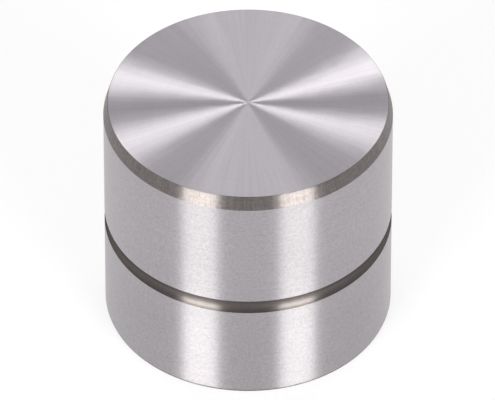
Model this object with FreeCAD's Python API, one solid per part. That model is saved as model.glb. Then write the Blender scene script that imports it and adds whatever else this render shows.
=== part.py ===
import FreeCAD, Part
import math
import os

# Hydraulic bucket tappet for an overhead camshaft engine, in millimetres.
# The rim of the skirt lies on z = 0 round the origin, and the cam runs on the crown at the top.
# Inside, a hydraulic element takes up the valve clearance. A piston stands under the crown, and
# a housing slides on it and pushes the valve stem. A ball valve parts the two oil chambers.

# Bucket shell: crown, skirt and rim
tappet_radius = 14.0
tappet_height = 25.2
crown_thickness = 2.5
skirt_wall = 1.3
crown_lead_radial = 0.4
crown_lead_axial = 1.4
rim_lead_radial = 0.1
rim_lead_axial = 0.25
rim_inner_chamfer = 0.3
crown_corner_radius = 1.6

# Oil groove round the skirt, its feed bore, and the overflow slot under the crown
groove_foot = 10.45
groove_width = 1.5
groove_depth = 0.35
feed_bore_radius = 0.65
overflow_width = 2.2
overflow_depth = 0.4
overflow_reach = 1.5

# Inner housing: the cup that stands on the valve stem
lash_stroke = 2.6
housing_radius = 7.5
housing_bore_radius = 5.5
housing_floor = 1.8
housing_top_gap = 0.6
nose_radial = 2.2
nose_axial = 0.7
edge_chamfer = 0.2
bore_chamfer = 0.4

# Piston
piston_length = 9.9
piston_wall = 1.4
piston_floor = 2.2
piston_rim = 0.55
piston_fit = 0.015

# Retaining ring, sprung into a groove of the housing above the guide sleeve
ring_wire_radius = 0.4
ring_bite = 0.4
ring_play = 0.05
ring_land = 1.1
ring_gap_angle = 16.0

# Guide sleeve, one drawn sheet: guide tube, web and collar
sleeve_sheet = 0.9
sleeve_fit = 0.025
sleeve_bend_radius = 0.7
sleeve_mouth_chamfer = 0.2
web_below_groove = 1.05
web_drop = 0.5
collar_length = 4.0

# Check valve: ball, its seat in the piston, and the cage
ball_radius = 1.5
ball_lift = 0.3
seat_gap = 0.015
seat_inner_land = 0.12
seat_outer_land = 0.54
cage_sheet = 0.3
cage_bend_radius = 0.15
cage_ball_gap = 0.2
cage_shoulder_flat = 0.08
cage_spring_gap = 0.15
cage_floor_gap = 0.3
cage_vent_radius = 0.45
cage_window_width = 1.1
cage_windows = 3
recess_gap = 0.05

# Ball spring
ball_spring_wire = 0.075
ball_spring_height = 1.15
ball_spring_turns = 5.0

# Return spring, closed and ground at both ends
return_wire_radius = 0.35
return_wall_gap = 0.3
return_turns = 4.2

# Both springs
closed_turns = 1.0
closed_pitch = 1.03
points_per_turn = 16

# Heights and radii that the pieces share
crown_face = tappet_height - crown_thickness
skirt_bore = tappet_radius - skirt_wall
groove_middle = groove_foot + groove_width / 2
web_foot = groove_foot - web_below_groove - sleeve_sheet
housing_top = crown_face - lash_stroke - housing_top_gap
ring_groove_width = 2 * (ring_wire_radius + ring_play)
ring_groove_foot = housing_top - ring_land - ring_groove_width
ring_groove_radius = housing_radius - ring_bite
ring_centre = ring_groove_foot + ring_groove_width / 2
sleeve_top = ring_centre - ring_wire_radius - ring_play
sleeve_bore = housing_radius + sleeve_fit
piston_radius = housing_bore_radius - piston_fit
piston_foot = crown_face - piston_length
cage_flange_radius = piston_radius - piston_rim - recess_gap
recess_roof = piston_foot + cage_sheet
seat_contact = (ball_radius + seat_gap) / math.sqrt(2)
port_radius = seat_contact - seat_inner_land
seat_top = recess_roof + seat_inner_land + seat_outer_land
ball_centre = seat_top - seat_inner_land - seat_contact
cage_outer_bend = cage_bend_radius + cage_sheet
hat_bore = ball_radius + cage_ball_gap
pocket_bore = hat_bore - cage_bend_radius - cage_outer_bend - cage_shoulder_flat
ball_spring_radius = pocket_bore - cage_spring_gap - ball_spring_wire
ball_spring_reach = ball_radius + ball_spring_wire + seat_gap
ball_spring_top = ball_centre - math.sqrt(ball_spring_reach ** 2 - ball_spring_radius ** 2)
cage_floor_face = ball_spring_top - ball_spring_height
cage_foot = cage_floor_face - cage_sheet
floor_face = cage_foot - cage_floor_gap - lash_stroke
housing_foot = floor_face - housing_floor


def corner_arc(before, corner, after, radius):
    """The two tangent points and the middle of the arc that rounds a corner."""
    inward = (before - corner).normalize()
    outward = (after - corner).normalize()
    half_angle = inward.getAngle(outward) / 2
    bisector = (inward + outward).normalize()
    centre = corner + bisector * (radius / math.sin(half_angle))
    reach = radius / math.tan(half_angle)
    return corner + inward * reach, centre - bisector * radius, corner + outward * reach


def outline(corners):
    """A closed face in the XZ plane from (radius, height) corners; a third value rounds a corner."""
    points = [FreeCAD.Vector(corner[0], 0, corner[1]) for corner in corners]
    rounds = [corner[2] if len(corner) > 2 else 0 for corner in corners]
    stretches = []
    for index, radius in enumerate(rounds):
        before = points[index - 1]
        after = points[(index + 1) % len(points)]
        if radius:
            stretches.append(corner_arc(before, points[index], after, radius))
        else:
            stretches.append((points[index],))
    edges = []
    for index, stretch in enumerate(stretches):
        if len(stretch) == 3:
            edges.append(Part.Arc(*stretch).toShape())
        following = stretches[(index + 1) % len(stretches)][0]
        edges.append(Part.makeLine(stretch[-1], following))
    return Part.Face(Part.Wire(edges))


def turned(corners):
    """A solid of revolution about the tappet's axis."""
    return outline(corners).revolve(FreeCAD.Vector(), FreeCAD.Vector(0, 0, 1), 360)


def coil(wire_radius, mean_radius, low, high, turns):
    """A round-wire spring whose end turns are closed, with its wire's centre from low to high."""
    closed_rise = 2 * wire_radius * closed_pitch * closed_turns
    open_rise = high - low - 2 * closed_rise
    open_turns = turns - 2 * closed_turns

    def height(turn):
        if turn <= closed_turns:
            return low + closed_rise * turn / closed_turns
        if turn >= turns - closed_turns:
            return high - closed_rise * (turns - turn) / closed_turns
        share = (turn - closed_turns) / open_turns
        slope = closed_rise / closed_turns * open_turns
        eased = share * share * (3 - 2 * share)
        return low + closed_rise + slope * share + (open_rise - slope) * eased

    steps = round(turns * points_per_turn)
    route = []
    for step in range(steps + 1):
        turn = turns * step / steps
        angle = 2 * math.pi * turn
        x, y = mean_radius * math.cos(angle), mean_radius * math.sin(angle)
        route.append(FreeCAD.Vector(x, y, height(turn)))
    curve = Part.BSplineCurve()
    curve.interpolate(route)
    start, along = curve.value(curve.FirstParameter), curve.tangent(curve.FirstParameter)[0]
    sweep = Part.BRepOffsetAPI.MakePipeShell(Part.Wire([curve.toShape()]))
    sweep.setBiNormalMode(FreeCAD.Vector(0, 0, 1))
    sweep.add(Part.Wire([Part.Circle(start, along, wire_radius).toShape()]))
    sweep.build()
    sweep.makeSolid()
    return sweep.shape()


def bucket_shell():
    """Crown and skirt extruded in one piece, with the ground lead, the oil groove and its bore."""
    shell = turned([
        (0, tappet_height),
        (tappet_radius - crown_lead_radial, tappet_height),
        (tappet_radius, tappet_height - crown_lead_axial),
        (tappet_radius, rim_lead_axial),
        (tappet_radius - rim_lead_radial, 0),
        (skirt_bore + rim_inner_chamfer, 0),
        (skirt_bore, rim_inner_chamfer),
        (skirt_bore, crown_face, crown_corner_radius),
        (0, crown_face),
    ])
    groove_radius = (groove_width ** 2 / 4 + groove_depth ** 2) / (2 * groove_depth)
    groove_axis = tappet_radius - groove_depth + groove_radius
    groove = Part.makeTorus(groove_axis, groove_radius, FreeCAD.Vector(0, 0, groove_middle))
    feed = Part.makeCylinder(
        feed_bore_radius, 2 * skirt_wall,
        FreeCAD.Vector(0, skirt_bore - skirt_wall / 2, groove_middle), FreeCAD.Vector(0, 1, 0))
    return shell.cut(groove).cut(feed).cut(overflow_slot())


def overflow_slot():
    """The slot in the crown's underside that lets oil over the piston's rim."""
    reach = piston_radius + overflow_reach
    half = overflow_width / 2
    bar = Part.makeBox(
        reach, overflow_width, overflow_depth, FreeCAD.Vector(0, -half, crown_face))
    ends = [
        Part.makeCylinder(half, overflow_depth, FreeCAD.Vector(x, 0, crown_face))
        for x in (0, reach)
    ]
    return bar.multiFuse(ends)


def guide_sleeve():
    """One drawn sheet: the tube that guides the housing, the web, and the collar in the skirt."""
    outer_tube = sleeve_bore + sleeve_sheet
    collar_bore = skirt_bore - sleeve_sheet
    collar_foot = web_foot + sleeve_sheet - collar_length
    inner_bend = sleeve_bend_radius
    outer_bend = sleeve_bend_radius + sleeve_sheet
    web_inner = web_foot + web_drop
    return turned([
        (sleeve_bore + sleeve_mouth_chamfer, sleeve_top),
        (outer_tube, sleeve_top),
        (outer_tube, web_inner + sleeve_sheet, inner_bend),
        (skirt_bore, web_foot + sleeve_sheet, outer_bend),
        (skirt_bore, collar_foot),
        (collar_bore, collar_foot),
        (collar_bore, web_foot, inner_bend),
        (sleeve_bore, web_inner, outer_bend),
        (sleeve_bore, sleeve_top - sleeve_mouth_chamfer),
    ])


def inner_housing():
    """The pressure cup that slides in the sleeve and stands on the valve stem."""
    return turned([
        (0, housing_foot),
        (housing_radius - nose_radial, housing_foot),
        (housing_radius, housing_foot + nose_axial),
        (housing_radius, ring_groove_foot),
        (ring_groove_radius, ring_groove_foot),
        (ring_groove_radius, ring_groove_foot + ring_groove_width),
        (housing_radius, ring_groove_foot + ring_groove_width),
        (housing_radius, housing_top - edge_chamfer),
        (housing_radius - edge_chamfer, housing_top),
        (housing_bore_radius + bore_chamfer, housing_top),
        (housing_bore_radius, housing_top - bore_chamfer),
        (housing_bore_radius, floor_face, edge_chamfer),
        (0, floor_face),
    ])


def retaining_ring():
    """An open ring of round wire that keeps the housing from dropping out of the sleeve."""
    middle_radius = ring_groove_radius + ring_play + ring_wire_radius
    centre = FreeCAD.Vector(middle_radius, 0, ring_centre)
    section = Part.Circle(centre, FreeCAD.Vector(0, 1, 0), ring_wire_radius).toShape()
    wire = Part.Face(Part.Wire([section]))
    wire.rotate(FreeCAD.Vector(), FreeCAD.Vector(0, 0, 1), ring_gap_angle / 2)
    return wire.revolve(
        FreeCAD.Vector(), FreeCAD.Vector(0, 0, 1), 360 - ring_gap_angle)


def piston():
    """The cup that stands under the crown, with the valve port and its seat in the floor."""
    piston_bore = piston_radius - piston_wall
    return turned([
        (port_radius, seat_top),
        (port_radius + seat_top - recess_roof, recess_roof),
        (piston_radius - piston_rim, recess_roof),
        (piston_radius - piston_rim, piston_foot),
        (piston_radius - edge_chamfer, piston_foot),
        (piston_radius, piston_foot + edge_chamfer),
        (piston_radius, crown_face - edge_chamfer),
        (piston_radius - edge_chamfer, crown_face),
        (piston_bore, crown_face),
        (piston_bore, piston_foot + piston_floor, edge_chamfer),
        (port_radius, piston_foot + piston_floor),
    ])


def check_ball():
    """The valve ball, up against its seat."""
    return Part.makeSphere(ball_radius, FreeCAD.Vector(0, 0, ball_centre))


def ball_cage():
    """A drawn hat with a shoulder that stops the ball, a pocket for its spring and oil windows."""
    inner_bend = cage_bend_radius
    outer_bend = cage_outer_bend
    hat_wall = hat_bore + cage_sheet
    pocket_wall = pocket_bore + cage_sheet
    ball_stop = math.sqrt((ball_radius + outer_bend) ** 2 - (pocket_bore + outer_bend) ** 2)
    shoulder = ball_centre - ball_lift - seat_gap - ball_stop + outer_bend
    hat = turned([
        (hat_bore, recess_roof, outer_bend),
        (hat_bore, shoulder, inner_bend),
        (pocket_bore, shoulder, outer_bend),
        (pocket_bore, cage_floor_face, inner_bend),
        (cage_vent_radius, cage_floor_face),
        (cage_vent_radius, cage_foot),
        (pocket_wall, cage_foot, outer_bend),
        (pocket_wall, shoulder - cage_sheet, inner_bend),
        (hat_wall, shoulder - cage_sheet, outer_bend),
        (hat_wall, piston_foot, inner_bend),
        (cage_flange_radius, piston_foot),
        (cage_flange_radius, recess_roof),
    ])
    window_foot = shoulder + inner_bend
    window_top = piston_foot - inner_bend
    corner = FreeCAD.Vector(0, -cage_window_width / 2, window_foot)
    for index in range(cage_windows):
        window = Part.makeBox(
            2 * hat_wall, cage_window_width, window_top - window_foot, corner)
        window.rotate(
            FreeCAD.Vector(), FreeCAD.Vector(0, 0, 1), 360 * index / cage_windows)
        hat = hat.cut(window)
    return hat


def ball_spring():
    """The small spring that lifts the ball back to its seat, standing in the cage's pocket."""
    foot = cage_floor_face + ball_spring_wire
    return coil(
        ball_spring_wire, ball_spring_radius, foot, ball_spring_top, ball_spring_turns)


def return_spring():
    """The spring between the cage's flange and the housing's floor, ground flat at both ends."""
    mean_radius = housing_bore_radius - return_wall_gap - return_wire_radius
    wound = coil(return_wire_radius, mean_radius, floor_face, piston_foot, return_turns)
    slab = Part.makeCylinder(
        housing_bore_radius, piston_foot - floor_face, FreeCAD.Vector(0, 0, floor_face))
    return wound.common(slab)


pieces = {
    "bucket_shell": bucket_shell,
    "guide_sleeve": guide_sleeve,
    "inner_housing": inner_housing,
    "retaining_ring": retaining_ring,
    "piston": piston,
    "check_ball": check_ball,
    "ball_cage": ball_cage,
    "ball_spring": ball_spring,
    "return_spring": return_spring,
}

os.makedirs("parts", exist_ok=True)
for name, build in pieces.items():
    shape = build()
    shape.exportStep(f"parts/{name}.step")
    print(name, len(shape.Solids), shape.isValid(), round(shape.Volume, 3))
print("housing foot", round(housing_foot, 3), "floor", round(floor_face, 3))
print("piston foot", round(piston_foot, 3), "ball centre", round(ball_centre, 3))
print("cage foot", round(cage_foot, 3), "sleeve top", round(sleeve_top, 3))
print("housing top", round(housing_top, 3), "crown face", round(crown_face, 3))
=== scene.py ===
import bpy
import math
import numpy as np
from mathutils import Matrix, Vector


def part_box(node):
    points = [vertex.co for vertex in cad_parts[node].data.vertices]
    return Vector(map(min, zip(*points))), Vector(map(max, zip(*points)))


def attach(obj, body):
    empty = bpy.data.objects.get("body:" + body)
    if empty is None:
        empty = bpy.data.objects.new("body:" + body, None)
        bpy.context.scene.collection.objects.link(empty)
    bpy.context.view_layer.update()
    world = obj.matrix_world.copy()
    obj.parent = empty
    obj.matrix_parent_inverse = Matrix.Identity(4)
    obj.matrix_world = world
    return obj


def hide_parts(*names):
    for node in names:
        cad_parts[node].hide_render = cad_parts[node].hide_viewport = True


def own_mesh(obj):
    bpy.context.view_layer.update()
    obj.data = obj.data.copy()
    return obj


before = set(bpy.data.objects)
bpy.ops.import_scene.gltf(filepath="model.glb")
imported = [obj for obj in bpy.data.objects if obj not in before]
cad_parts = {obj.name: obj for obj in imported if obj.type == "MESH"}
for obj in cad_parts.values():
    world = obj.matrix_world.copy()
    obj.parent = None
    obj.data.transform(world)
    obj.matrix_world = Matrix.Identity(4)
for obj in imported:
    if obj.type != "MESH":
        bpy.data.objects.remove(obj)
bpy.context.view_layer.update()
print("frame loaded with", len(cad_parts), "nodes")

mm = 0.001    # sizes below are in millimetres, and meshes are written in metres
tiny = 1e-6    # a smaller difference counts as none


def nodeBox(node):
    # lowest and highest corner of a CAD node, in millimetres
    low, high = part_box(node)
    return np.array(low) / mm, np.array(high) / mm


# Surfaces. A surface is a set of four arrays: places, normals, four-sided faces and their finish.

def unit(vectors):
    # each vector divided by its own length
    return vectors / np.maximum(np.linalg.norm(vectors, axis=-1, keepdims=True), tiny)


def turnedBy(vector, angle):
    # a plane vector turned by each angle: (x cos - y sin, x sin + y cos)
    c, s = np.cos(angle), np.sin(angle)
    return np.stack([vector[0] * c - vector[1] * s, vector[0] * s + vector[1] * c], -1)


def outline(corners, closed=False, arcSteps=4):
    # Corners are (radius, height, fillet, finish of the stretch that follows), with the metal on
    # the left. A fillet is an arc that touches both sides: its centre lies one fillet from each,
    # and its normals turn from the first side's to the second's.
    places = np.array([corner[:2] for corner in corners], float)
    along = unit(np.roll(places, -1, 0) - places)
    outward = np.stack([along[:, 1], -along[:, 0]], -1)
    points, normals, finish = [], [], []
    for k, (_, _, fillet, stretch) in enumerate(corners):
        before, after = outward[k - 1], outward[k]
        if not closed and k in (0, len(corners) - 1):
            before = after = after if k == 0 else before
        bend = math.atan2(before[0] * after[1] - before[1] * after[0], before @ after)
        if fillet == 0 or abs(bend) < tiny:
            points.append(places[k:k + 1])
            normals.append(unit(before + after)[None])
        else:
            side = math.copysign(fillet, bend)
            centre = places[k] - along[k - 1] * fillet * math.tan(abs(bend) / 2) - before * side
            normals.append(turnedBy(before, bend * np.linspace(0, 1, arcSteps + 1)))
            points.append(centre + normals[-1] * side)
        finish += [stretch] * len(points[-1])
    return np.concatenate(points), np.concatenate(normals), np.array(finish)


def gridSurface(places, normals, finish, closedAlong=False, kept=None):
    # faces between neighbouring points of a grid whose first direction closes on itself
    rows, columns = places.shape[:2]
    index = np.arange(rows * columns).reshape(rows, columns)
    right, up = np.roll(index, -1, 0), np.roll(index, -1, 1)
    quads = np.stack([index, right, np.roll(right, -1, 1), up], -1)
    finish = np.broadcast_to(finish, (rows, columns))
    kept = np.ones((rows, columns), bool) if kept is None else kept.copy()
    kept[:, -1] &= closedAlong
    return places.reshape(-1, 3), normals.reshape(-1, 3), quads[kept], finish[kept]


def spun(flat, angles):
    # a plane vector (radius, height) turned to each angle: (radius cos a, radius sin a, height)
    c, s = np.cos(angles)[:, None], np.sin(angles)[:, None]
    height = np.broadcast_to(flat[:, 1], (len(angles), len(flat)))
    return np.stack([flat[:, 0] * c, flat[:, 0] * s, height], -1)


def revolved(corners, closed=True, segments=240, arcSteps=4):
    # an outline turned once round the tappet's axis
    points, normals, finish = outline(corners, closed, arcSteps)
    angles = np.linspace(0, 2 * np.pi, segments, endpoint=False)
    return gridSurface(spun(points, angles), spun(normals, angles), finish, closed)


def joined(surfaces):
    # Surfaces put together, with points in one place made one: places are rounded down on a grid
    # whose lines are moved off the round numbers that sizes have.
    cells, shift = 1e4, 0.2113
    starts = np.cumsum([0] + [len(surface[0]) for surface in surfaces[:-1]])
    places, normals = (np.concatenate([surface[k] for surface in surfaces]) for k in (0, 1))
    quads = np.concatenate([surface[2] + start for surface, start in zip(surfaces, starts)])
    finish = np.concatenate([surface[3] for surface in surfaces])
    _, first, same = np.unique(
        np.floor(places * cells + shift), axis=0, return_index=True, return_inverse=True)
    quads = same.reshape(-1)[quads]
    used, quads = np.unique(quads, return_inverse=True)
    return places[first][used], unit(normals[first][used]), quads.reshape(-1, 4), finish


def addPiece(name, surface, materials, body, node):
    # A face whose corners run against its normals is turned round, and a face with two corners in
    # one place becomes a triangle. The mesh keeps the normals that the formulas give.
    places, normals, quads, finish = surface
    corner = places[quads]
    facing = np.cross(corner[:, 2] - corner[:, 0], corner[:, 3] - corner[:, 1])
    against = np.einsum("ij,ij->i", facing, normals[quads].sum(1)) < 0
    quads = np.where(against[:, None], quads[:, ::-1], quads)
    doubled = quads == np.roll(quads, -1, 1)
    quads, finish = quads[doubled.sum(1) < 2], finish[doubled.sum(1) < 2]
    kept = quads != np.roll(quads, -1, 1)
    sides = kept.sum(1)
    mesh = bpy.data.meshes.new(name)
    mesh.vertices.add(len(places))
    mesh.vertices.foreach_set("co", (places * mm).ravel())
    mesh.loops.add(int(sides.sum()))
    mesh.loops.foreach_set("vertex_index", quads[kept].astype(np.int32))
    mesh.polygons.add(len(quads))
    mesh.polygons.foreach_set("loop_start", (np.cumsum(sides) - sides).astype(np.int32))
    mesh.polygons.foreach_set("material_index", finish.astype(np.int32))
    mesh.polygons.foreach_set("use_smooth", np.ones(len(quads), bool))
    for material in materials:
        mesh.materials.append(material)
    mesh.update(calc_edges=True)
    mesh.validate()
    mesh.normals_split_custom_set_from_vertices(normals)
    piece = bpy.data.objects.new(name, mesh)
    bpy.context.scene.collection.objects.link(piece)
    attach(piece, body)
    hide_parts(node)
    print("made", name, "with", len(quads), "faces")
    return piece


# Shader groups

def addNode(tree, kind, values=None, **settings):
    # a shader node with its settings, and each input linked or set
    made = tree.nodes.new("ShaderNode" + kind)
    for name, value in settings.items():
        setattr(made, name, value)
    for socket, value in (values or {}).items():
        if isinstance(value, bpy.types.NodeSocket):
            tree.links.new(value, made.inputs[socket])
        else:
            made.inputs[socket].default_value = value
    return made


def calculate(tree, operation, *values, clamp=False):
    # the output of a math node
    sockets = {k: value for k, value in enumerate(values)}
    return addNode(tree, "Math", sockets, operation=operation, use_clamp=clamp).outputs[0]


def newGroup(name, inputs, output):
    # an empty group with its inputs and one output, all plain values but for Position
    group = bpy.data.node_groups.new(name, "ShaderNodeTree")
    group.interface.new_socket("Position", in_out="INPUT", socket_type="NodeSocketVector")
    for socket, value in inputs.items():
        made = group.interface.new_socket(socket, in_out="INPUT", socket_type="NodeSocketFloat")
        made.default_value = value
    group.interface.new_socket(output, in_out="OUTPUT", socket_type="NodeSocketFloat")
    given = group.nodes.new("NodeGroupInput").outputs
    return group, given, group.nodes.new("NodeGroupOutput").inputs[0]


def roundTheAxis(group, position, share):
    # radius, height and the direction round the axis, (cos a, sin a) times a share
    x, y, z = addNode(group, "SeparateXYZ", {0: position}).outputs
    squares = calculate(group, "ADD", calculate(group, "MULTIPLY", x, x),
                        calculate(group, "MULTIPLY", y, y))
    radius = calculate(group, "MAXIMUM", calculate(group, "SQRT", squares), tiny)
    scale = calculate(group, "DIVIDE", share, radius)
    return radius, z, calculate(group, "MULTIPLY", x, scale), calculate(group, "MULTIPLY", y, scale)


def noiseValue(group, place, scale, detail, contrast):
    # noise stretched about its middle value, 0.5
    noise = addNode(group, "TexNoise", {
        "Vector": place, "Scale": scale, "Detail": detail, "Roughness": 0.6}).outputs[0]
    spread = calculate(group, "SUBTRACT", noise, 0.5)
    return calculate(group, "MULTIPLY_ADD", spread, contrast, 0.5, clamp=True)


def turningMarksGroup():
    # Lines that run round the axis: noise read at (cos a, sin a) times Breaks, and at the radius
    # or height divided by Pitch, so that it changes fast across the lines and slowly along them.
    group, given, out = newGroup(
        "turningMarks", {"Pitch": 0.1, "Face": 0.0, "Breaks": 2.0, "Contrast": 2.0}, "Marks")
    radius, z, x, y = roundTheAxis(group, given["Position"], given["Breaks"])
    across = calculate(group, "MULTIPLY_ADD", calculate(group, "SUBTRACT", radius, z),
                       given["Face"], z)
    steps = calculate(group, "DIVIDE", calculate(group, "MULTIPLY", across, 1000.0),
                      given["Pitch"])
    place = addNode(group, "CombineXYZ", {0: x, 1: y, 2: steps}).outputs[0]
    group.links.new(noiseValue(group, place, 1.0, 3.0, given["Contrast"]), out)
    return group


def raysGroup():
    # Fine rays from the axis: noise read at (cos a, sin a) times Number, and slowly outwards.
    group, given, out = newGroup(
        "rays", {"Number": 30.0, "Drift": 60.0, "Contrast": 2.0}, "Rays")
    radius, z, x, y = roundTheAxis(group, given["Position"], given["Number"])
    outwards = calculate(group, "MULTIPLY", calculate(group, "ADD", radius, z), given["Drift"])
    place = addNode(group, "CombineXYZ", {0: x, 1: y, 2: outwards}).outputs[0]
    group.links.new(noiseValue(group, place, 1.0, 2.0, given["Contrast"]), out)
    return group


def grainGroup():
    # Even mottling: noise read at the place divided by Size.
    group, given, out = newGroup("grain", {"Size": 0.3, "Contrast": 2.0}, "Grain")
    scale = calculate(group, "DIVIDE", 1000.0, given["Size"])
    group.links.new(noiseValue(group, given["Position"], scale, 4.0, given["Contrast"]), out)
    return group


turningMarks, rays, grain = turningMarksGroup(), raysGroup(), grainGroup()
print("shader groups ready")


# Materials

def shadeValue(tree, position, look):
    # The middle value plus the sum of turning marks, rays, grain and cloud, each about its own
    # middle and times its own weight.
    effects = [
        (turningMarks, "marks", {"Pitch": look.get("pitch", 0.12), "Face": look.get("face", 0)}),
        (rays, "rays", {"Number": look.get("rayNumber", 40)}),
        (grain, "grain", {"Size": look.get("grainSize", 0.3)}),
        (grain, "cloud", {"Size": look.get("cloudSize", 6)}),
    ]
    middle = 0.5
    shade = middle
    for group, weight, values in effects:
        if weight in look:
            effect = addNode(tree, "Group", {"Position": position} | values, node_tree=group)
            centred = calculate(tree, "SUBTRACT", effect.outputs[0], middle)
            shade = calculate(tree, "MULTIPLY_ADD", centred, look[weight], shade)
    return calculate(tree, "ADD", shade, 0.0, clamp=True)


def roughnessValue(tree, position, shade, look):
    # The low value plus the shade times the range. "smoother" gives two heights, and the share
    # of the roughness that is left at the upper one.
    low, high = look["roughness"]
    roughness = calculate(tree, "MULTIPLY_ADD", shade, high - low, low)
    if "smoother" not in look:
        return roughness
    foot, top, share = look["smoother"]
    height = addNode(tree, "SeparateXYZ", {0: position}).outputs[2]
    finer = addNode(tree, "MapRange", {0: height, 1: foot * mm, 2: top * mm, 3: 1.0, 4: share})
    return calculate(tree, "MULTIPLY", roughness, finer.outputs[0])


def scratchDirection(tree, position, look):
    # The scratches run round the axis, along (-y, x). "spiral" moves y by a sway times the
    # radius, and turns the direction by so much for each mm outwards from a radius at which
    # there is no turn. "waver" adds noise to that turn, read at (cos a, sin a) times a number
    # and outwards times a drift, and times its reach.
    x, y, _ = addNode(tree, "SeparateXYZ", {0: position}).outputs
    if "spiral" in look:
        turn, still, sway = look["spiral"]
        number, drift, reach = look["waver"]
        radius, _, across, along = roundTheAxis(tree, position, number)
        outwards = calculate(tree, "MULTIPLY", radius, drift)
        place = addNode(tree, "CombineXYZ", {0: across, 1: along, 2: outwards}).outputs[0]
        wave = calculate(tree, "SUBTRACT", noiseValue(tree, place, 1.0, 2.0, 1.0), 0.5)
        turned = calculate(tree, "MULTIPLY_ADD", radius, turn / mm, -still * turn)
        turned = calculate(tree, "MULTIPLY_ADD", wave, reach, turned)
        back = calculate(tree, "MULTIPLY", turned, -1.0)
        y = calculate(tree, "MULTIPLY_ADD", radius, sway, y)
        x, y = (calculate(tree, "MULTIPLY_ADD", y, turned, x),
                calculate(tree, "MULTIPLY_ADD", x, back, y))
    flat = addNode(tree, "CombineXYZ", {0: calculate(tree, "MULTIPLY", y, -1.0), 1: x})
    return addNode(tree, "VectorMath", {0: flat.outputs[0]}, operation="NORMALIZE").outputs[0]


quarterTurn = 0.25    # the shader counts in whole turns


def steel(name, look):
    # A metal whose colour runs from dark to light with the shade. "edge" is the share of the
    # reflection that is kept at a grazing angle, and "brushed" stretches the gloss across the
    # scratches, a quarter turn from their direction.
    material = bpy.data.materials.new(name)
    material.use_nodes = True
    tree = material.node_tree
    tree.nodes.clear()
    position = addNode(tree, "TexCoord").outputs["Object"]
    shade = shadeValue(tree, position, look)
    colour = addNode(tree, "Mix", {
        "Factor": shade, 6: (*look["dark"], 1), 7: (*look["light"], 1)}, data_type="RGBA")
    shader = addNode(tree, "BsdfPrincipled", {
        "Base Color": colour.outputs[2], "Metallic": 1.0,
        "Roughness": roughnessValue(tree, position, shade, look)})
    if "edge" in look:
        edge = look["edge"]
        shader.inputs["Specular Tint"].default_value = (edge, edge, edge, 1)
    if "brushed" in look:
        tree.links.new(scratchDirection(tree, position, look), shader.inputs["Tangent"])
        shader.inputs["Anisotropic"].default_value = look["brushed"]
        shader.inputs["Anisotropic Rotation"].default_value = quarterTurn
    addNode(tree, "OutputMaterial", {"Surface": shader.outputs[0]})
    return material


# Bucket

bucketValues = {
    "bore": 12.7, "crownThickness": 2.5, "crownLead": (0.4, 1.4), "rimLead": (0.1, 0.25),
    "rimChamfer": 0.3, "insideCorner": 1.6, "edge": 0.04,
    "grooveMiddle": 11.2, "grooveWidth": 1.5, "grooveDepth": 0.35, "grooveSteps": 20,
    "feedBore": 0.65, "feedBreak": 0.03,
    "feedWindow": 4, "feedWindowHeight": 0.95,    # half of it, in segments and in mm of height
    "crownRings": (13.55, 11, 8, 5, 2, 0), "crownLean": 0.8,    # lean in degrees at the edge
    "slotWidth": 2.2, "slotDepth": 0.4, "slotReach": 6.985, "slotDisc": 8.6,
    "segments": 360,
    "finishes": {
        "crown": {"dark": (0.605, 0.567, 0.62), "light": (0.71, 0.665, 0.726),
                  "roughness": (0.276, 0.305), "brushed": 1.0, "marks": 0.3, "pitch": 0.2,
                  "face": 1, "rays": 0.7, "rayNumber": 30, "grain": 0.4, "grainSize": 0.3,
                  "spiral": (0.0054, 15, 0.044), "waver": (70, 900, 0.3)},
        "skirt": {"dark": (0.353, 0.333, 0.352), "light": (0.502, 0.474, 0.5),
                  "roughness": (0.3125, 0.322), "brushed": 1.0, "marks": 0.3, "pitch": 0.12,
                  "grain": 0.9, "grainSize": 0.25, "smoother": (7, 16, 0.88)},
        # The lead's dark colours are partly its turned finish and partly a painted dark reflection:
        # they darken the chamfers as the dark surroundings they reflect would.
        "lead": {"dark": (0.14, 0.124, 0.122), "light": (0.28, 0.248, 0.245),
                 "roughness": (0.32, 0.345), "brushed": 1.0, "marks": 0.3, "pitch": 0.2,
                 "rays": 0.4, "rayNumber": 70, "grain": 0.7, "grainSize": 0.25},
        # The groove's dark colours are partly its turned finish and partly painted shade in the
        # recess.
        "groove": {"dark": (0.108, 0.096, 0.093), "light": (0.177, 0.157, 0.152),
                   "roughness": (0.33, 0.36), "brushed": 0.97, "marks": 0.5, "pitch": 0.2,
                   "grain": 0.4, "grainSize": 0.4, "edge": 0.3},
        "inside": {"dark": (0.26, 0.255, 0.26), "light": (0.36, 0.355, 0.36),
                   "roughness": (0.40, 0.52), "brushed": 0.6, "marks": 0.9, "pitch": 0.35,
                   "grain": 0.3},
    },
}


def grooveArc(size, radius):
    # The groove's round section is an arc through both its edges and its bottom. Its radius is
    # (half width squared + depth squared) / (2 depth), and half of it covers
    # asin(half width / radius).
    half, depth = size["grooveWidth"] / 2, size["grooveDepth"]
    arc = (half ** 2 + depth ** 2) / (2 * depth)
    centre = np.array([radius - depth + arc, size["grooveMiddle"]])
    return centre, arc, math.asin(half / arc)


def slotOutline(size, bearing):
    # Where rays from the slot's middle meet its straight sides or its round ends: half its
    # width / |sin| while that lies between the ends' centres, else the far crossing with a circle.
    half, reach = size["slotWidth"] / 2, size["slotReach"] / 2
    c, s = np.cos(bearing), np.sin(bearing)
    side = half / np.maximum(np.abs(s), tiny)
    end = reach * np.abs(c) + np.sqrt(np.maximum(half ** 2 - (reach * s) ** 2, 0))
    distance = np.where(side * np.abs(c) <= reach, side, end)
    flat = np.stack([distance * c, distance * s], -1)
    axis = np.stack([np.clip(flat[:, 0], -reach, reach), 0 * s], -1)
    return flat + [reach, 0], unit(flat - axis)


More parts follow.
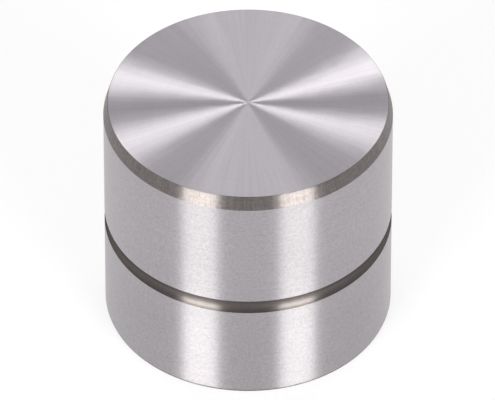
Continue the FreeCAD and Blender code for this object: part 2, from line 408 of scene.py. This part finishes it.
def windowBorder(rows, columns):
    # grid indices round a window, once round
    low, high, foot, top = rows[0], rows[-1], columns[0], columns[-1]
    i = np.concatenate([rows[:-1], np.full(len(columns) - 1, high), rows[:0:-1],
                        np.full(len(columns) - 1, low)])
    j = np.concatenate([np.full(len(rows) - 1, foot), columns[:-1],
                        np.full(len(rows) - 1, top), columns[:0:-1]])
    return i, j


def bucketOutline(size, radius, foot, height):
    # The wall's outline down the inside, under the rim, up the skirt and in across the crown.
    # Normals in the groove point to its arc's centre, and those of the crown lean outwards in
    # proportion to the radius.
    crown, skirt, lead, groove, inside = range(len(size["finishes"]))
    bore, middle, edge = size["bore"], size["grooveMiddle"], size["edge"]
    face, half = height - size["crownThickness"], size["grooveWidth"] / 2
    centre, arc, reach = grooveArc(size, radius)
    angle = np.linspace(-reach, reach, size["grooveSteps"] + 1)[1:-1]
    section = np.stack([centre[0] - arc * np.cos(angle), centre[1] + arc * np.sin(angle)], -1)
    windowRows = np.linspace(1, -1, size["grooveSteps"] - 1) * size["feedWindowHeight"]
    corners = [(size["slotDisc"], face, 0, inside), (bore, face, size["insideCorner"], inside)]
    corners += [(bore, middle + step, 0, inside) for step in windowRows]
    corners += [
        (bore, size["rimChamfer"], edge, lead),
        (bore + size["rimChamfer"], foot, edge, lead),
        (radius - size["rimLead"][0], foot, edge, lead),
        (radius, size["rimLead"][1], 2 * edge, skirt),
        (radius, middle - half, edge, groove)]
    corners += [(r, z, 0, groove) for r, z in section]
    corners += [
        (radius, middle + half, edge, skirt),
        (radius, height - size["crownLead"][1], edge, lead),
        (radius - size["crownLead"][0], height, edge, lead)]
    corners += [(r, height, 0, crown) for r in size["crownRings"]]
    points, normals, finish = outline(corners)
    onCrown = (points[:, 1] > height - tiny) & (normals[:, 1] > 1 - tiny)
    normals[onCrown, 0] = np.radians(size["crownLean"]) * points[onCrown, 0] / radius
    inGroove = np.abs(np.linalg.norm(points - centre, axis=1) - arc) < tiny
    normals[inGroove] = unit(centre - points[inGroove])
    return points, normals, finish, inGroove


def bucketSurface(size):
    # The outline turned round the axis, less a window at the back through which the feed bore
    # comes, with the feed bore's own surface and the crown's underside with its slot.
    _, _, _, groove, inside = range(len(size["finishes"]))
    low, high = nodeBox("bucket_shell")
    radius, height = high[:2].min(), high[2]
    points, normals, finish, inGroove = bucketOutline(size, radius, low[2], height)
    angles = np.linspace(0, 2 * np.pi, size["segments"], endpoint=False)
    places, directions = spun(points, angles), spun(normals, angles)
    back, bore, middle = size["segments"] // 4, size["bore"], size["grooveMiddle"]
    rows = np.arange(back - size["feedWindow"], back + size["feedWindow"] + 1)
    outer = np.flatnonzero(inGroove)
    inner = np.flatnonzero((np.abs(points[:, 0] - bore) < tiny)
                           & (np.abs(points[:, 1] - middle) < size["feedWindowHeight"] + tiny))
    kept = np.ones(places.shape[:2], bool)
    for columns in (outer, inner):
        kept[rows[0]:rows[-1], columns[0]:columns[-1]] = False
    wall = gridSurface(places, directions, finish, kept=kept)
    feed = feedBoreSurface(size, places, windowBorder(rows, outer), windowBorder(rows, inner),
                           grooveArc(size, radius)[:2], (groove, inside))
    slot = slotSurface(size, places[:, 0], height - size["crownThickness"], inside)
    return joined([wall, feed, slot])


def feedBoreSurface(size, places, outerBorder, innerBorder, grooveCircle, finish):
    # Rings from a window's border to the bore's circle, across the groove's surface, then through
    # the wall to the window inside. A ring's points share their bearing from the bore's axis.
    (centre, arc), bore = grooveCircle, size["bore"]
    middle, radius, broken = size["grooveMiddle"], size["feedBore"], size["feedBreak"]
    outerShares, innerShares = (0, 0.25, 0.5, 0.75, 1), (1, 0.5, 0)

    def onGroove(x, z):
        r = centre[0] - np.sqrt(arc ** 2 - (z - middle) ** 2)
        y = np.sqrt(r ** 2 - x ** 2)
        normal = np.stack([(centre[0] - r) * x / r, (centre[0] - r) * y / r, middle - z], -1)
        return np.stack([x, y, z], -1), unit(normal)

    def onBore(x, z):
        y = np.sqrt(bore ** 2 - x ** 2)
        return np.stack([x, y, z], -1), unit(np.stack([-x, -y, 0 * z], -1))

    def rim(border, surface, share):
        x, z = border[:, 0], border[:, 2] - middle
        bearing = np.arctan2(z, x)
        x = x + (np.cos(bearing) * (radius + broken) - x) * share
        z = z + (np.sin(bearing) * (radius + broken) - z) * share
        return surface(x, z + middle)

    def tube(border, surface, depth):
        x, z = border[:, 0], border[:, 2] - middle
        bearing = np.arctan2(z, x)
        place = surface(np.cos(bearing) * radius, np.sin(bearing) * radius + middle)[0]
        place[:, 1] += depth
        return place, np.stack([-np.cos(bearing), 0 * x, -np.sin(bearing)], -1)

    outside, within = places[outerBorder], places[innerBorder]
    rings = [rim(outside, onGroove, share) for share in outerShares]
    rings += [tube(outside, onGroove, -broken), tube(within, onBore, broken)]
    rings += [rim(within, onBore, share) for share in innerShares]
    ringPlaces = np.stack([ring[0] for ring in rings], 1)
    ringNormals = np.stack([ring[1] for ring in rings], 1)
    ringFinish = np.array([finish[0]] * len(outerShares) + [finish[1]] * (2 + len(innerShares)))
    return gridSurface(ringPlaces, ringNormals, ringFinish)


def slotSurface(size, border, face, finish):
    # The crown's underside from a circle in to the overflow slot, then up its walls and across
    # its floor to the slot's middle.
    middle = np.array([size["slotReach"] / 2, 0])
    away = border[:, :2] - middle
    flat, outward = slotOutline(size, np.arctan2(away[:, 1], away[:, 0]))
    down, sideways = [0.0, 0.0, -1.0], np.concatenate([-outward, 0 * outward[:, :1]], -1)
    top, edge = face + size["slotDepth"], size["edge"]

    def level(plan, z):
        return np.concatenate([plan, np.full((len(plan), 1), z)], -1)

    shape = np.broadcast_to(down, border.shape)
    rings = [(border, shape), (level(flat + outward * edge, face), shape),
             (level(flat, face + edge), sideways), (level(flat, top), sideways),
             (level(flat, top), shape), (level(0 * flat + middle, top), shape)]
    return gridSurface(np.stack([ring[0] for ring in rings], 1),
                       np.stack([ring[1] for ring in rings], 1), finish)


bucketMaterials = [steel(f"{name} of the bucket", finish)
                   for name, finish in bucketValues["finishes"].items()]
addPiece("bucket", bucketSurface(bucketValues), bucketMaterials,
         "bucket", "bucket_shell")


# Guide sleeve

sleeveValues = {
    "sheet": 0.9, "bore": 7.525, "bend": 0.7, "mouth": 0.2, "webDrop": 0.5, "webFoot": 8.5,
    "edge": 0.05,
    "finishes": {
        "sheet": {"dark": (0.40, 0.40, 0.41), "light": (0.54, 0.54, 0.55),
                  "roughness": (0.30, 0.44), "brushed": 0.4, "marks": 0.5, "pitch": 0.5,
                  "grain": 0.6, "grainSize": 0.25, "cloud": 0.4},
        "bore": {"dark": (0.46, 0.46, 0.47), "light": (0.60, 0.60, 0.61),
                 "roughness": (0.24, 0.36), "brushed": 0.7, "marks": 0.9, "pitch": 0.2},
    },
}


def sleeveSurface(size):
    # a sheet of one thickness, from the tube down to the web and out to the collar
    plain, fine = range(len(size["finishes"]))
    low, high = nodeBox("guide_sleeve")
    wall, foot, top = high[0], low[2], high[2]
    sheet, bore, edge = size["sheet"], size["bore"], size["edge"]
    tube, collar = bore + sheet, wall - sheet
    inner, outer = size["bend"], size["bend"] + sheet
    web = size["webFoot"] + size["webDrop"]
    return revolved([
        (bore, top - size["mouth"], edge, plain), (bore, web, outer, plain),
        (collar, size["webFoot"], inner, plain), (collar, foot, edge, plain),
        (wall, foot, edge, plain), (wall, size["webFoot"] + sheet, outer, plain),
        (tube, web + sheet, inner, plain), (tube, top, edge, plain),
        (bore + size["mouth"], top, edge, fine)], arcSteps=10)


sleeveMaterials = [steel(f"drawn {name} of the sleeve", finish)
                   for name, finish in sleeveValues["finishes"].items()]
addPiece("guideSleeve", joined([sleeveSurface(sleeveValues)]), sleeveMaterials,
         "bucket", "guide_sleeve")


# Inner housing

housingValues = {
    "bore": 5.5, "floor": 1.8, "nose": (2.2, 0.7), "grooveRadius": 7.1, "groove": (17.5, 18.4),
    "chamfer": 0.2, "boreChamfer": 0.4, "edge": 0.04,
    "finishes": {
        "ground": {"dark": (0.50, 0.49, 0.50), "light": (0.62, 0.61, 0.62),
                   "roughness": (0.26, 0.38), "brushed": 0.85, "marks": 0.9, "pitch": 0.15},
        "faced": {"dark": (0.42, 0.41, 0.42), "light": (0.56, 0.55, 0.56),
                  "roughness": (0.30, 0.42), "brushed": 0.8, "marks": 0.9, "pitch": 0.22,
                  "face": 1, "grain": 0.3},
    },
}


def housingSurface(size):
    # a cup with a nose below, and the ring's groove in its side
    ground, faced = range(len(size["finishes"]))
    low, high = nodeBox("inner_housing")
    radius, foot, top = high[0], low[2], high[2]
    bore, chamfer, edge = size["bore"], size["chamfer"], size["edge"]
    floor = foot + size["floor"]
    noseIn, noseUp = size["nose"]
    grooveRadius, (grooveFoot, grooveTop) = size["grooveRadius"], size["groove"]
    return revolved([
        (0, foot, 0, faced), (radius - noseIn, foot, 3 * edge, faced),
        (radius, foot + noseUp, 2 * edge, ground), (radius, grooveFoot, edge, ground),
        (grooveRadius, grooveFoot, edge, ground), (grooveRadius, grooveTop, edge, ground),
        (radius, grooveTop, edge, ground), (radius, top - chamfer, edge, ground),
        (radius - chamfer, top, edge, faced), (bore + size["boreChamfer"], top, edge, ground),
        (bore, top - size["boreChamfer"], edge, ground), (bore, floor, chamfer, faced),
        (0, floor, 0, faced)], closed=False)


housingMaterials = [steel(f"{name} steel of the housing", finish)
                    for name, finish in housingValues["finishes"].items()]
addPiece("innerHousing", joined([housingSurface(housingValues)]), housingMaterials,
         "inner_housing", "inner_housing")


# Piston

pistonValues = {
    "wall": 1.4, "floor": 2.2, "rim": 0.55, "chamfer": 0.2, "recessRoof": 13.1,
    "port": 0.9513, "seatTop": 13.76, "edge": 0.03,
    "finishes": {
        "ground": {"dark": (0.52, 0.51, 0.52), "light": (0.64, 0.63, 0.64),
                   "roughness": (0.20, 0.30), "brushed": 0.85, "marks": 0.9, "pitch": 0.12},
        "turned": {"dark": (0.36, 0.355, 0.36), "light": (0.50, 0.495, 0.50),
                   "roughness": (0.32, 0.46), "brushed": 0.6, "marks": 0.9, "pitch": 0.25,
                   "grain": 0.3},
    },
}


def pistonSurface(size):
    # a cup that is open above, with the port, its cone and the cage's recess in its floor
    ground, turned = range(len(size["finishes"]))
    low, high = nodeBox("piston")
    radius, foot, top = high[0], low[2], high[2]
    bore, floor, edge = radius - size["wall"], foot + size["floor"], size["edge"]
    chamfer, seat, roof = size["chamfer"], size["seatTop"], size["recessRoof"]
    return revolved([
        (size["port"], seat, 0, turned), (size["port"] + seat - roof, roof, edge, turned),
        (radius - size["rim"], roof, edge, turned), (radius - size["rim"], foot, edge, ground),
        (radius - chamfer, foot, edge, ground), (radius, foot + chamfer, edge, ground),
        (radius, top - chamfer, edge, ground), (radius - chamfer, top, edge, ground),
        (bore, top, edge, turned), (bore, floor, chamfer, turned),
        (size["port"], floor, edge, turned)])


pistonMaterials = [steel(f"{name} steel of the piston", finish)
                   for name, finish in pistonValues["finishes"].items()]
addPiece("piston", joined([pistonSurface(pistonValues)]), pistonMaterials,
         "bucket", "piston")


# Springs and retaining ring

returnSpringValues = {
    "wire": 0.35, "radius": 4.85, "turns": 4.2, "low": 6.842, "high": 12.8, "ground": True,
    "steps": 72, "sides": 24,
    "finish": {"dark": (0.22, 0.215, 0.21), "light": (0.36, 0.35, 0.345),
               "roughness": (0.22, 0.34), "grain": 0.8, "grainSize": 0.12, "cloud": 0.4,
               "cloudSize": 2},
}
ballSpringValues = {
    "wire": 0.075, "radius": 0.795, "turns": 5.0, "low": 10.117, "high": 11.19, "ground": False,
    "steps": 48, "sides": 16,
    "finish": {"dark": (0.44, 0.43, 0.42), "light": (0.58, 0.57, 0.56),
               "roughness": (0.18, 0.28), "grain": 0.7, "grainSize": 0.05},
}
closedTurns, closedPitch = 1.0, 1.03    # closed turns at each end, and their rise in wires


def coilHeight(size, turn):
    # The wire's centre climbs evenly in the closed turns at both ends, and between them by a
    # smooth step added to the same even climb.
    rise = 2 * size["wire"] * closedPitch
    openTurns = size["turns"] - 2 * closedTurns
    openRise = size["high"] - size["low"] - 2 * rise * closedTurns
    share = np.clip((turn - closedTurns) / openTurns, 0, 1)
    eased = share * share * (3 - 2 * share)    # the smooth step
    ends = np.minimum(turn, closedTurns) + np.maximum(turn - size["turns"] + closedTurns, 0)
    return size["low"] + rise * (ends + openTurns * share) + (openRise - rise * openTurns) * eased


def tubeSurface(centres, along, wire, sides):
    # A round tube along a line that turns about the axis: each ring lies across the line, at the
    # wire's radius from it, and a flat disc closes each end.
    outward = unit(np.concatenate([centres[:, :2], 0 * centres[:, :1]], -1))
    upward = unit(np.cross(outward, along))
    outward = unit(np.cross(along, upward))
    around = np.linspace(0, 2 * np.pi, sides, endpoint=False)[:, None, None]
    spokes = outward * np.cos(around) + upward * np.sin(around)
    rings = centres + spokes * wire
    caps = np.broadcast_to(along[[0, -1]] * [[-1], [1]], (sides, 2, 3))
    first = [centres[:1] + 0 * rings[:, :1], rings[:, :1]]
    last = [rings[:, -1:], centres[-1:] + 0 * rings[:, -1:]]
    places = np.concatenate(first + [rings] + last, 1)
    normals = np.concatenate([caps[:, [0, 0]], spokes, caps[:, [1, 1]]], 1)
    return places, normals


def coilSurface(size):
    # a tube along a helix whose height the turns give
    turn = np.linspace(0, size["turns"], int(size["turns"] * size["steps"]) + 1)
    angle = 2 * np.pi * turn
    height = coilHeight(size, turn)
    centres = np.stack([size["radius"] * np.cos(angle), size["radius"] * np.sin(angle), height], -1)
    along = unit(np.gradient(centres, axis=0))
    places, normals = tubeSurface(centres, along, size["wire"], size["sides"])
    if size["ground"]:
        # both ends are ground flat, level with the wire's centre there
        below, above = places[..., 2:] < size["low"], places[..., 2:] > size["high"]
        places[..., 2] = np.clip(places[..., 2], size["low"], size["high"])
        normals = np.where(above, [0.0, 0, 1], normals)
        normals = np.where(below, [0.0, 0, -1], normals)
    return gridSurface(places, normals, 0)


returnSpring = addPiece("returnSpring", joined([coilSurface(returnSpringValues)]),
                        [steel("oiled spring wire", returnSpringValues["finish"])],
                        "bucket", "return_spring")
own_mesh(returnSpring)
ballSpring = addPiece("ballSpring", joined([coilSurface(ballSpringValues)]),
                      [steel("fine spring wire", ballSpringValues["finish"])],
                      "bucket", "ball_spring")
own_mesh(ballSpring)

ringValues = {
    "wire": 0.4, "radius": 7.55, "height": 17.95, "gap": 16.0, "steps": 240, "sides": 24,
    "finish": {"dark": (0.30, 0.295, 0.30), "light": (0.44, 0.435, 0.44),
               "roughness": (0.22, 0.32), "grain": 0.8, "grainSize": 0.15},
}


def ringSurface(size):
    # a tube along a circle that is open by the gap, in degrees
    half = math.radians(size["gap"] / 2)
    angle = np.linspace(half, 2 * np.pi - half, size["steps"])
    centres = np.stack([size["radius"] * np.cos(angle), size["radius"] * np.sin(angle),
                        0 * angle + size["height"]], -1)
    along = np.stack([-np.sin(angle), np.cos(angle), 0 * angle], -1)
    return gridSurface(*tubeSurface(centres, along, size["wire"], size["sides"]), 0)


addPiece("retainingRing", joined([ringSurface(ringValues)]),
         [steel("ring wire", ringValues["finish"])],
         "retaining_ring", "retaining_ring")


# Check ball, and the cage, which keeps its own solid

ballValues = {
    "segments": 96,
    "finish": {"dark": (0.66, 0.655, 0.65), "light": (0.74, 0.735, 0.73),
               "roughness": (0.05, 0.09), "grain": 0.6, "grainSize": 0.1, "cloud": 0.4,
               "cloudSize": 1},
}
cageValues = {
    "finish": {"dark": (0.44, 0.44, 0.45), "light": (0.60, 0.60, 0.61),
               "roughness": (0.24, 0.38), "marks": 0.4, "pitch": 0.3, "grain": 0.8,
               "grainSize": 0.15},
}


def ballSurface(segments):
    # latitude rings of a sphere, from pole to pole, whose normals are its own directions
    low, high = nodeBox("check_ball")
    centre, radius = (low + high) / 2, (high[2] - low[2]) / 2
    latitude = np.linspace(-np.pi / 2, np.pi / 2, segments // 2 + 1)
    flat = np.stack([np.cos(latitude), np.sin(latitude)], -1)
    flat[[0, -1], 0] = 0
    directions = spun(flat, np.linspace(0, 2 * np.pi, segments, endpoint=False))
    return gridSurface(centre * [0, 0, 1] + directions * radius, directions, 0)


addPiece("checkBall", joined([ballSurface(ballValues["segments"])]),
         [steel("ball steel", ballValues["finish"])],
         "check_ball", "check_ball")


def dressNode(node, material):
    # a CAD node keeps its shape and gets this finish
    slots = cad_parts[node].data.materials
    slots.clear()
    slots.append(material)


dressNode("ball_cage", steel("cage sheet", cageValues["finish"]))
print("all pieces made")


# Camera, floor, lamps and sky

viewpoint = {"target": (-0.06, 0.0, 12.46), "elevation": 42.31, "distance": 967.0,
             "lens": 722.3, "sensor": 36.0, "near": 0.01, "far": 20.0}
skyLook = {"horizon": 0.64, "above": 0.375, "rise": (0.45, 0.55)}
floorLook = {"colour": (0.985, 0.977, 1.0), "size": 6.0, "white": 0.7}
# Azimuth is counted in degrees from the camera's side towards its right. The sizes are angles
# too, seen from the object, and a strength of 1 is as bright as white. The softboxes' distance
# and aim, the floor's size and the camera's near and far are in metres.
softboxes = {
    "frontLeft": {"azimuth": -34.3, "elevation": 13.8, "wide": 24.8, "high": 23.6,
                  "strength": 13.8},
    "frontRight": {"azimuth": 35.2, "elevation": 13.8, "wide": 24.8, "high": 23.6,
                   "strength": 13.3},
    "sideLeft": {"azimuth": -138, "elevation": 46, "wide": 12, "high": 16,
                 "strength": 2.7},
    "sideRight": {"azimuth": 142.5, "elevation": 42.1, "wide": 10.5, "high": 18,
                  "strength": 3.6},
    "backLeft": {"azimuth": -155.5, "elevation": 17.5, "wide": 8, "high": 20,
                 "strength": 8.3},
    "backRight": {"azimuth": 160.8, "elevation": 17.5, "wide": 7, "high": 20,
                  "strength": 8.5},
    "backPanel": {"azimuth": 180, "elevation": 12, "wide": 30, "high": 20,
                  "strength": 1.5},
    "overhead": {"azimuth": 180, "elevation": 74, "wide": 12, "high": 14,
                 "strength": 1.5},
}
softboxSetting = {"distance": 1.6, "aim": 0.0126, "colour": (0.985, 1.0, 0.95)}


def bearing(azimuth, elevation):
    # the direction from the object: (sin a cos e, -cos a cos e, sin e)
    a, e = math.radians(azimuth), math.radians(elevation)
    return Vector((math.sin(a) * math.cos(e), -math.cos(a) * math.cos(e), math.sin(e)))


def addCamera(size):
    # a long lens that looks at the target
    lens = bpy.data.cameras.new("camera")
    lens.lens, lens.sensor_width = size["lens"], size["sensor"]
    lens.clip_start, lens.clip_end = size["near"], size["far"]
    camera = bpy.data.objects.new("camera", lens)
    back = bearing(0, size["elevation"])
    camera.location = Vector(size["target"]) * mm + back * size["distance"] * mm
    camera.rotation_euler = back.to_track_quat("Z", "Y").to_euler()
    bpy.context.scene.collection.objects.link(camera)
    bpy.context.scene.camera = camera


def addSoftbox(name, size, setting):
    # A flat lamp that faces the object. Its strength is its brightness, and its power is four
    # times that for each square metre.
    distance = setting["distance"]
    lamp = bpy.data.lights.new(name, "AREA")
    lamp.shape = "RECTANGLE"
    lamp.color = setting["colour"]
    lamp.size = 2 * distance * math.tan(math.radians(size["wide"] / 2))
    lamp.size_y = 2 * distance * math.tan(math.radians(size["high"] / 2))
    lamp.energy = 4 * lamp.size * lamp.size_y * size["strength"]
    softbox = bpy.data.objects.new(name, lamp)
    away = bearing(size["azimuth"], size["elevation"])
    softbox.location = Vector((0, 0, setting["aim"])) + away * distance
    softbox.rotation_euler = away.to_track_quat("Z", "Y").to_euler()
    bpy.context.scene.collection.objects.link(softbox)


def addFloor(look):
    # A square floor, seen only from above. To the camera and in reflections it shows a share of
    # plain white, and the rest keeps the shadow.
    half = look["size"] / 2
    mesh = bpy.data.meshes.new("floor")
    mesh.from_pydata([(-half, -half, 0), (half, -half, 0), (half, half, 0), (-half, half, 0)], [],
                     [(0, 1, 2, 3)])
    material = bpy.data.materials.new("pale floor")
    material.use_nodes = True
    tree = material.node_tree
    tree.nodes.clear()
    matt = addNode(tree, "BsdfDiffuse", {"Color": (*look["colour"], 1)})
    plain = addNode(tree, "Emission")
    ray = addNode(tree, "LightPath").outputs
    shown = calculate(tree, "ADD", ray["Is Camera Ray"], ray["Is Glossy Ray"])
    shown = calculate(tree, "ADD", shown, ray["Is Transmission Ray"], clamp=True)
    share = calculate(tree, "MULTIPLY", shown, look["white"])
    pale = addNode(tree, "MixShader", {0: share, 1: matt.outputs[0], 2: plain.outputs[0]})
    clear = addNode(tree, "BsdfTransparent")
    below = addNode(tree, "NewGeometry").outputs["Backfacing"]
    both = addNode(tree, "MixShader", {0: below, 1: pale.outputs[0], 2: clear.outputs[0]})
    addNode(tree, "OutputMaterial", {"Surface": both.outputs[0]})
    mesh.materials.append(material)
    floor = bpy.data.objects.new("floor", mesh)
    bpy.context.scene.collection.objects.link(floor)


def addSky(look):
    # A sky that is pale at the horizon and darker above: its shade follows the height of the
    # direction, a smooth step between two heights.
    world = bpy.data.worlds.new("studio")
    world.use_nodes = True
    tree = world.node_tree
    tree.nodes.clear()
    direction = addNode(tree, "TexCoord").outputs["Generated"]
    height = addNode(tree, "SeparateXYZ", {0: direction}).outputs[2]
    low, high = look["rise"]
    shade = addNode(tree, "MapRange", {
        "Value": height, "From Min": low, "From Max": high,
        "To Min": look["horizon"], "To Max": look["above"]}, interpolation_type="SMOOTHSTEP")
    glow = addNode(tree, "Background", {"Color": (1, 1, 1, 1), "Strength": shade.outputs[0]})
    addNode(tree, "OutputWorld", {"Surface": glow.outputs[0]})
    bpy.context.scene.world = world


addCamera(viewpoint)
for name, size in softboxes.items():
    addSoftbox(name, size, softboxSetting)
addFloor(floorLook)
addSky(skyLook)
bpy.context.scene.view_settings.view_transform = "Standard"
print("camera, floor, softboxes and sky in place")
